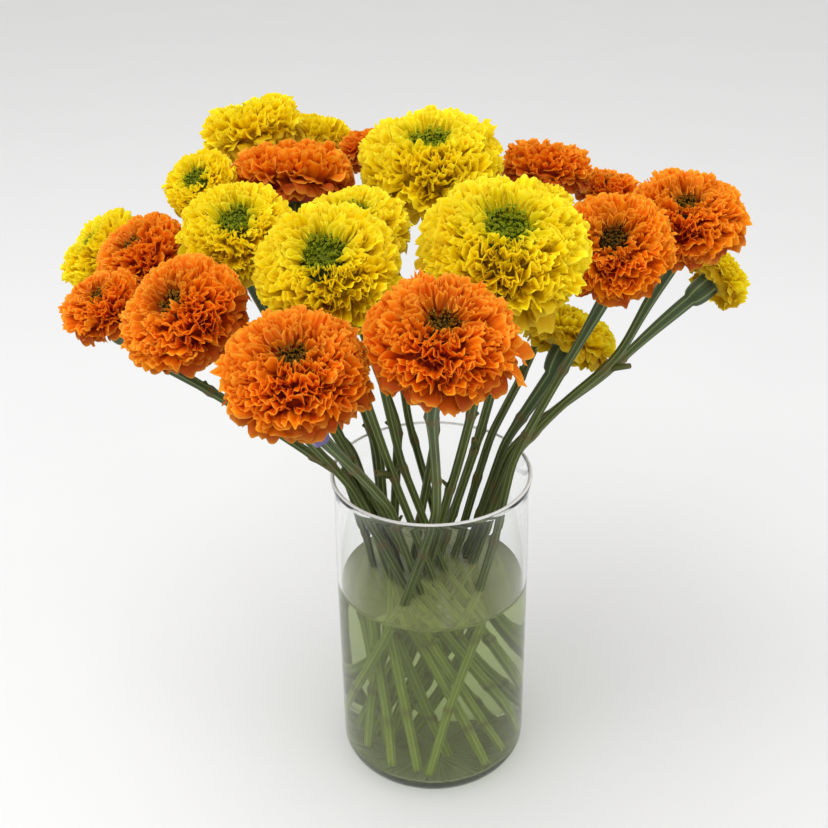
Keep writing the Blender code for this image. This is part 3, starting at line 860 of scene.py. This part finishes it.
def make_sleeve(place, route, neck, below, length, finish):
    """A crinkled film sleeve round a neck."""
    chance = np.random.default_rng(SLEEVE_SEED)
    line = np.concatenate([route, [neck]])
    run = distances(line)
    at = run[-1] - below + np.linspace(-0.5, 0.5, SLEEVE_RINGS) * length
    path = points_at(at, run, line)
    outer = np.linspace(*SLEEVE_REACH, SLEEVE_RINGS) * NECK_RADIUS
    rings, _ = tube(path, outer, SLEEVE_SIDES, SLEEVE_FOLDS, FOLD_HEIGHT)
    crinkle = chance.normal(0, CRINKLE, (SLEEVE_RINGS, SLEEVE_SIDES, 1))
    centre = path[:, None, :]
    skin = rings[1:] + (rings[1:] - centre) / outer[:, None, None] * crinkle
    inside = centre + (skin - centre) * SLEEVE_INSIDE
    points = np.concatenate([skin, inside[::-1], skin[:1]])
    sleeve = Build("ridge")
    sleeve.add(points)
    add_piece(f"film_{place}", sleeve.mesh("sleeve"), finish, "sleeve", f"sleeve_{place}")


# Vase and water

def arc(radius, middle_out, middle_up, start, end, steps):
    """Points of a profile round a corner, from one turn in degrees to another."""
    turns = np.radians(np.linspace(start, end, steps + 1))
    return [(middle_out + radius * math.cos(t), middle_up + radius * math.sin(t)) for t in turns]


def turned(name, profile, rim_from):
    """A profile of (radius, height) turned about Z. The attribute rim grows from 0 to 1 above rim_from."""
    out, up = np.array(profile).T
    turn = circle(TURN_STEPS)
    points = as_points(*swing(out[:, None], 0, turn), up[:, None])
    rim = smoothstep(rim_from, rim_from + RIM_FADE, points[..., 2])
    build = Build("rim")
    build.add(points, flip=True, rim=rim)
    return build.mesh(name)


def make_vase(finish):
    """The glass, from the middle of its floor up its inner face, over the lip and down to its foot."""
    inner = VASE_RADIUS - WALL
    lip = 0.5 * WALL
    profile = [(PIN, FLOOR), (HUB, FLOOR), (0.5 * inner, FLOOR)]
    profile += arc(INNER_CORNER, inner - INNER_CORNER, FLOOR + INNER_CORNER, -90, 0, CORNER_STEPS)
    profile += [(inner, up) for up in SIDE_HEIGHTS]
    profile += [(inner - WAIST_DRAW * draw, up) for draw, up in WAIST]
    profile += arc(lip, VASE_RADIUS - lip + LIP_FLARE, VASE_HEIGHT - lip, 180, 0, CORNER_STEPS)
    profile += [(VASE_RADIUS - WAIST_DRAW * draw, up) for draw, up in WAIST[::-1]]
    profile += [(VASE_RADIUS, up) for up in SIDE_HEIGHTS[::-1]]
    profile += arc(FOOT_CORNER, VASE_RADIUS - FOOT_CORNER, FOOT_CORNER, 0, -90, FOOT_STEPS)
    profile += [(HUB, 0.0), (PIN, 0.0), (PIN, FLOOR)]
    add_piece("glass_vase", turned("vase", profile, VASE_HEIGHT - lip), finish, "glass", "vase")


def make_water(finish):
    """The water wets the glass, so its side lies a hair inside the wall, and creeps up at the edge."""
    inner = VASE_RADIUS - WALL + WETTING
    profile = [(PIN, WATER_LEVEL), (HUB, WATER_LEVEL), (0.4 * inner, WATER_LEVEL), (0.8 * inner, WATER_LEVEL)]
    profile += [(inner - away, WATER_LEVEL + share * MENISCUS) for away, share in CREEP]
    profile += [(inner, up) for up in WATER_SIDE]
    corner = INNER_CORNER + WETTING
    bottom = FLOOR - WETTING
    profile += arc(corner, inner - corner, bottom + corner, 0, -90, CORNER_STEPS)
    profile += [(0.4 * inner, bottom), (HUB, bottom), (PIN, bottom), (PIN, WATER_LEVEL)]
    add_piece("still_water", turned("water", profile, WATER_LEVEL - RIM_FADE), finish, "water", "water")


# Materials

class Shader:
    """A material's node tree, with short calls to add nodes and link them."""

    def __init__(self, name):
        self.material = bpy.data.materials.new(name)
        self.material.use_nodes = True
        self.tree = self.material.node_tree
        self.surface = self.tree.nodes["Principled BSDF"]
        self.output = self.tree.nodes["Material Output"]

    def fill(self, node, inputs):
        """Gives a node's inputs, by name or place, a number, a colour or another node's output."""
        for key, value in inputs.items():
            if isinstance(value, (int, float)):
                node.inputs[key].default_value = value
            elif isinstance(value, tuple):
                node.inputs[key].default_value = (*value, 1)
            else:
                self.tree.links.new(value, node.inputs[key])

    def node(self, kind, inputs, **settings):
        made = self.tree.nodes.new("ShaderNode" + kind)
        for key, value in settings.items():
            setattr(made, key, value)
        self.fill(made, inputs)
        return made

    def attributes(self, *names):
        return [self.node("Attribute", {}, attribute_name=name).outputs["Fac"] for name in names]

    def math(self, operation, first, second):
        return self.node("Math", {0: first, 1: second}, operation=operation).outputs[0]

    def times(self, first, second):
        return self.math("MULTIPLY", first, second)

    def minus(self, first, second):
        return self.math("SUBTRACT", first, second)

    def clamp(self, value):
        return self.math("MINIMUM", self.math("MAXIMUM", value, 0.0), 1.0)

    def past(self, value, start, rate):
        """0 up to start and growing to 1 past it, or the other way round if the rate is below 0."""
        return self.clamp(self.times(self.minus(value, start), rate))

    def mix(self, share, first, second):
        """A colour with this share of the second one in the first."""
        return self.node("Mix", {0: share, 6: first, 7: second}, data_type="RGBA").outputs[2]

    def blend(self, share, first, second):
        """A surface with this share of the second one in the first."""
        return self.node("MixShader", {0: share, 1: first, 2: second}).outputs[0]

    def ramp(self, source, *stops):
        made = self.node("ValToRGB", {0: source})
        elements = made.color_ramp.elements
        while len(elements) < len(stops):
            elements.new(0.5)
        for element, (position, colour) in zip(elements, stops):
            element.position = position
            element.color = (*colour, 1)
        return made.outputs[0]

    def noise(self, scale, detail, vector=None):
        if vector is None:
            vector = self.node("TexCoord", {}).outputs["Object"]
        return self.node("TexNoise", {"Scale": scale, "Detail": detail, "Vector": vector}).outputs[0]

    def bump(self, height, strength, distance):
        made = self.node("Bump", {"Strength": strength, "Distance": distance, "Height": height})
        self.fill(self.surface, {"Normal": made.outputs[0]})

    def paint(self, colour, roughness, gleam):
        self.fill(self.surface, {"Base Color": colour, "Roughness": roughness, "Specular IOR Level": gleam})


# Floret colours. The along ramp darkens towards the root as painted shade deep in the head; skirt is painted
# shade on the florets under the dome; rim is a painted highlight along their edges; light and dark follow
# each floret's tone and its head's painted light and shade
PETAL_COLOURS = {
    "orange": dict(
        along=((0.0, (0.34, 0.023, 0.001)), (0.55, (0.73, 0.118, 0.001)), (0.85, (0.91, 0.225, 0.002)),
               (1.0, (0.97, 0.295, 0.003))),
        skirt=(0.40, 0.054, 0.001),
        inner=(0.26, 0.09, 0.006),
        dark=(0.82, 0.13, 0.001),
        light=(1.0, 0.38, 0.005),
        rim=(1.0, 0.55, 0.05),
        behind=(0.97, 0.28, 0.002),
    ),
    "yellow": dict(
        along=((0.0, (0.60, 0.36, 0.001)), (0.55, (0.92, 0.66, 0.001)), (0.85, (1.0, 0.80, 0.002)),
               (1.0, (1.0, 0.86, 0.006))),
        skirt=(0.58, 0.33, 0.001),
        inner=(0.30, 0.38, 0.010),
        dark=(0.96, 0.66, 0.001),
        light=(1.0, 0.88, 0.004),
        rim=(1.0, 0.92, 0.06),
        behind=(1.0, 0.82, 0.001),
    ),
}
# How far a floret's own tone and its head's painted light and shade change its colour, and the share of light
# that comes through it
TONE_AND_LIGHT_SHARE = 0.55
THROUGH_SHARE = 0.32


def petal_finish(style):
    """Darker at the root with painted shade, bright at the tip, with a painted highlight along the rim,
    painted shade on the skirt and painted light or shade by head; veined, and thin enough to glow.
    """
    shader = Shader(style + "_petal")
    colours = PETAL_COLOURS[style]
    along, across, tone_and_painted_light, inner, rim = shader.attributes("along", "across", "tone_and_painted_light", "inner", "rim")
    # Darker towards the root: painted shade deep in the head
    colour = shader.ramp(along, *colours["along"])
    # Lighter or deeper by each floret's own tone and by its head's painted light and shade
    colour = shader.mix(shader.past(tone_and_painted_light, 0.0, TONE_AND_LIGHT_SHARE), colour, colours["light"])
    colour = shader.mix(shader.past(tone_and_painted_light, 0.0, -TONE_AND_LIGHT_SHARE), colour, colours["dark"])
    # Painted shade on the skirt florets, which lie under the dome
    skirt_shade = shader.past(inner, 0.22, -7.0)
    colour = shader.mix(skirt_shade, colour, colours["skirt"])
    near_eye = shader.past(inner, 0.80, 5.5)
    rooted = shader.minus(1.20, along)
    colour = shader.mix(shader.clamp(shader.times(near_eye, rooted)), colour, colours["inner"])
    paces = {0: shader.times(across, 9.0), 1: shader.times(along, 2.0), 2: shader.times(tone_and_painted_light, 40.0)}
    veins = shader.noise(1.0, 2.0, shader.node("CombineXYZ", paces).outputs[0])
    colour = shader.mix(shader.times(veins, 0.30), colour, colours["dark"])
    # A painted highlight along the florets' edges, weaker on the skirt
    rim_highlight = shader.minus(0.85, shader.times(skirt_shade, 0.45))
    colour = shader.mix(shader.times(shader.math("POWER", rim, 1.6), rim_highlight), colour, colours["rim"])
    shader.paint(colour, roughness=0.60, gleam=0.16)
    shader.bump(veins, 0.35, 0.6 * MM)
    # Less warm light comes through the skirt florets, part of their painted shade
    warm = shader.minus(0.5, shader.times(skirt_shade, 0.45))
    behind = shader.mix(warm, colour, colours["behind"])
    through = shader.node("BsdfTranslucent", {"Color": behind})
    both = shader.blend(THROUGH_SHARE, shader.surface.outputs[0], through.outputs[0])
    shader.fill(shader.output, {"Surface": both})
    return shader.material


# The painted shade of the hollows, the wall and the lobes of the eye's florets
EYE_COLOURS = {
    "orange": ((0.008, 0.006, 0.001), (0.045, 0.028, 0.001), (0.50, 0.19, 0.004)),
    "yellow": ((0.014, 0.024, 0.001), (0.115, 0.155, 0.002), (0.46, 0.48, 0.006)),
}


def eye_finish(style):
    """Painted shade inside the florets' mouths and at their feet, lighter at the lobes and towards the rays.
    """
    shader = Shader(style + "_eye")
    hollow_shade, wall, lobe = EYE_COLOURS[style]
    depth, inner = shader.attributes("depth", "inner")
    # Painted shade in the hollows, rising to the wall's and the lobes' colours
    colour = shader.ramp(depth, (0.0, hollow_shade), (0.45, wall), (1.0, lobe))
    colour = shader.mix(shader.times(inner, 0.5), colour, wall)
    grain = shader.noise(900.0, 3.0)
    colour = shader.mix(shader.times(grain, 0.3), colour, hollow_shade)
    shader.paint(colour, roughness=0.6, gleam=0.1)
    shader.bump(grain, 0.2, 0.4 * MM)
    return shader.material


# Greens above water and under it, painted lighter there as painted light: deep, light, on a rib and, as
# painted shade, in a groove
DRY_GREENS = ((0.050, 0.069, 0.010), (0.097, 0.123, 0.021), (0.25, 0.31, 0.115), (0.022, 0.034, 0.008))
UNDERWATER_LIT_GREENS = ((0.25, 0.34, 0.04), (0.46, 0.54, 0.10), (0.58, 0.68, 0.20), (0.10, 0.15, 0.02))
NECK_GREEN = (0.050, 0.083, 0.038)
STREAK_GREEN = (0.02, 0.035, 0.01)
KNOT_BROWN = (0.13, 0.080, 0.025)


def stem_finish():
    """Dull green, ribbed, with painted shade in the grooves, bluer at the neck, brown at the knots, and
    lighter and yellower under water as painted light.
    """
    shader = Shader("green_stem")
    deep, light, on_rib, groove_shade_green = DRY_GREENS
    underwater_lit_deep, underwater_lit_light, underwater_lit_rib, underwater_groove_shade = UNDERWATER_LIT_GREENS
    ridge, knot, under, neck = shader.attributes("ridge", "knot", "under", "neck")
    blotches = shader.noise(38.0, 4.0)
    streaks = shader.noise(420.0, 2.0)
    colour = shader.ramp(blotches, (0.30, deep), (0.70, light))
    colour = shader.mix(shader.times(neck, 0.7), colour, NECK_GREEN)
    rib = shader.past(ridge, 0.45, 1.8)
    # Painted shade in the grooves between the ribs
    groove_shade = shader.past(ridge, -0.10, -0.9)
    colour = shader.mix(rib, colour, on_rib)
    colour = shader.mix(shader.times(groove_shade, 0.6), colour, groove_shade_green)
    # Painted light under water: lighter, yellower greens where the stem stands in the water
    underwater_painted_light = shader.mix(shader.times(streaks, 0.5), underwater_lit_deep, underwater_lit_light)
    underwater_painted_light = shader.mix(shader.times(rib, 0.7), underwater_painted_light, underwater_lit_rib)
    underwater_painted_light = shader.mix(shader.times(groove_shade, 0.6), underwater_painted_light, underwater_groove_shade)
    colour = shader.mix(shader.times(under, 0.85), colour, underwater_painted_light)
    brown = shader.math("MINIMUM", shader.times(knot, 0.75), 0.85)
    colour = shader.mix(brown, colour, KNOT_BROWN)
    colour = shader.mix(shader.times(streaks, 0.25), colour, STREAK_GREEN)
    shader.paint(colour, roughness=0.48, gleam=0.25)
    shader.bump(streaks, 0.25, 0.6 * MM)
    return shader.material


SLEEVE_COLOURS = ((0.085, 0.060, 0.19), (0.16, 0.125, 0.32))


def sleeve_finish():
    """Crinkled purple film."""
    shader = Shader("purple_film")
    crinkle = shader.noise(300.0, 4.0)
    shader.paint(shader.mix(crinkle, *SLEEVE_COLOURS), roughness=0.35, gleam=0.5)
    shader.bump(crinkle, 0.6, 0.8 * MM)
    return shader.material


def clear_finish(name, colour, refraction, gleam, shadow, film, at_rim, film_share):
    """A clear body that bends light and gleams, with a plain tint in its shadow.

    A film covers this share of it, and at_rim times the rim's attribute more: on the glass it is a painted
    highlight along the lip, on the water its cloudiness.
    """
    shader = Shader(name)
    shader.fill(shader.surface, {"Base Color": colour, "Roughness": 0.0, "Transmission Weight": 1.0})
    shader.fill(shader.surface, {"IOR": refraction, "Specular Tint": (gleam,) * 3})
    skin = shader.node("BsdfPrincipled", {"Base Color": film, "Roughness": 0.25})
    straight = shader.node("BsdfTransparent", {"Color": shadow})
    in_shadow = shader.node("LightPath", {}).outputs["Is Shadow Ray"]
    share = shader.math("ADD", shader.times(shader.attributes("rim")[0], at_rim), film_share)
    filmed = shader.blend(share, shader.surface.outputs[0], skin.outputs[0])
    both = shader.blend(in_shadow, filmed, straight.outputs[0])
    shader.fill(shader.output, {"Surface": both})
    return shader


def glass_finish():
    """Clear glass with a painted highlight along its lip: a pale, opaque film."""
    # The pale film on the lip is a painted highlight
    shader = clear_finish(
        "clear_glass", colour=(0.985, 0.995, 0.988), refraction=1.5, gleam=0.12,
        shadow=(0.97, 0.98, 0.975), film=(0.97, 0.975, 0.97), at_rim=0.85, film_share=0.0,
    )
    shader.bump(shader.noise(26.0, 2.0), 0.04, 0.5 * MM)
    return shader.material


def water_finish():
    """Greenish, a little cloudy water, cloudiest on top."""
    shader = clear_finish(
        "tinted_water", colour=(0.97, 0.985, 0.94), refraction=1.333, gleam=0.8,
        shadow=(0.95, 0.96, 0.93), film=(0.42, 0.46, 0.18), at_rim=0.26, film_share=0.19,
    )
    tint = shader.node("VolumeAbsorption", {"Color": (0.54, 0.64, 0.14), "Density": 12.0})
    shader.fill(shader.output, {"Volume": tint.outputs[0]})
    shader.bump(shader.noise(34.0, 1.0), 0.12, 1.0 * MM)
    return shader.material


# Stage

def floor_finish():
    """Pale and faintly mottled."""
    shader = Shader("pale_floor")
    mottle = shader.noise(6.0, 2.0)
    shader.paint(shader.mix(mottle, *FLOOR_COLOURS), roughness=0.55, gleam=0.3)
    return shader.material


def make_stage():
    """The floor, the room's even light and the lamps."""
    bpy.ops.mesh.primitive_circle_add(vertices=FLOOR_SIDES, radius=FLOOR_RADIUS, fill_type="NGON")
    floor = bpy.context.active_object
    floor.name = "floor"
    floor.data.materials.append(floor_finish())
    world = bpy.data.worlds.new("soft_room")
    bpy.context.scene.world = world
    world.use_nodes = True
    sky = world.node_tree.nodes["Background"]
    sky.inputs["Color"].default_value = (*ROOM_COLOUR, 1)
    sky.inputs["Strength"].default_value = ROOM_LIGHT
    bpy.context.scene.view_settings.view_transform = "Standard"
    for name, place, size, power in LAMPS:
        lamp = bpy.data.lights.new(name, "AREA")
        lamp.shape = "DISK"
        lamp.size = size
        lamp.energy = power
        holder = add_object(name, lamp)
        holder.location = place
        aim = Vector(LAMP_AIM) - Vector(place)
        holder.rotation_euler = aim.to_track_quat("-Z", "Y").to_euler()


def make_camera():
    """The camera where the photo was taken from."""
    lens = bpy.data.cameras.new("photo_view")
    lens.sensor_width = SENSOR
    lens.lens = SENSOR * CAMERA_FOCAL_PIXELS / PHOTO_PIXELS
    lens.clip_start = 0.01
    camera = add_object("photo_view", lens)
    pitch = Matrix.Rotation(CAMERA_PITCH, 4, "X")
    roll = Matrix.Rotation(CAMERA_ROLL, 4, "Z")
    camera.matrix_world = Matrix.Translation(CAMERA_PLACE) @ pitch @ roll
    bpy.context.scene.camera = camera


def main():
    make_camera()
    flowers = Flowers()
    feet, routes = stem_routes(flowers)
    planes = partings(flowers)
    finishes = {style: petal_finish(style) for style in PETAL_COLOURS}
    finishes.update({"eye_" + style: eye_finish(style) for style in EYE_COLOURS})
    green = stem_finish()
    for i in range(flowers.count):
        make_head(flowers, i, planes[i], finishes)
        make_stem(flowers, i, feet[i], routes[i], green)
    film = sleeve_finish()
    places = [row[0] for row in FLOWERS]
    for place, below, length in SLEEVES:
        i = places.index(place)
        make_sleeve(place, routes[i], flowers.necks[i], below, length, film)
    make_vase(glass_finish())
    make_water(water_finish())
    make_stage()


main()
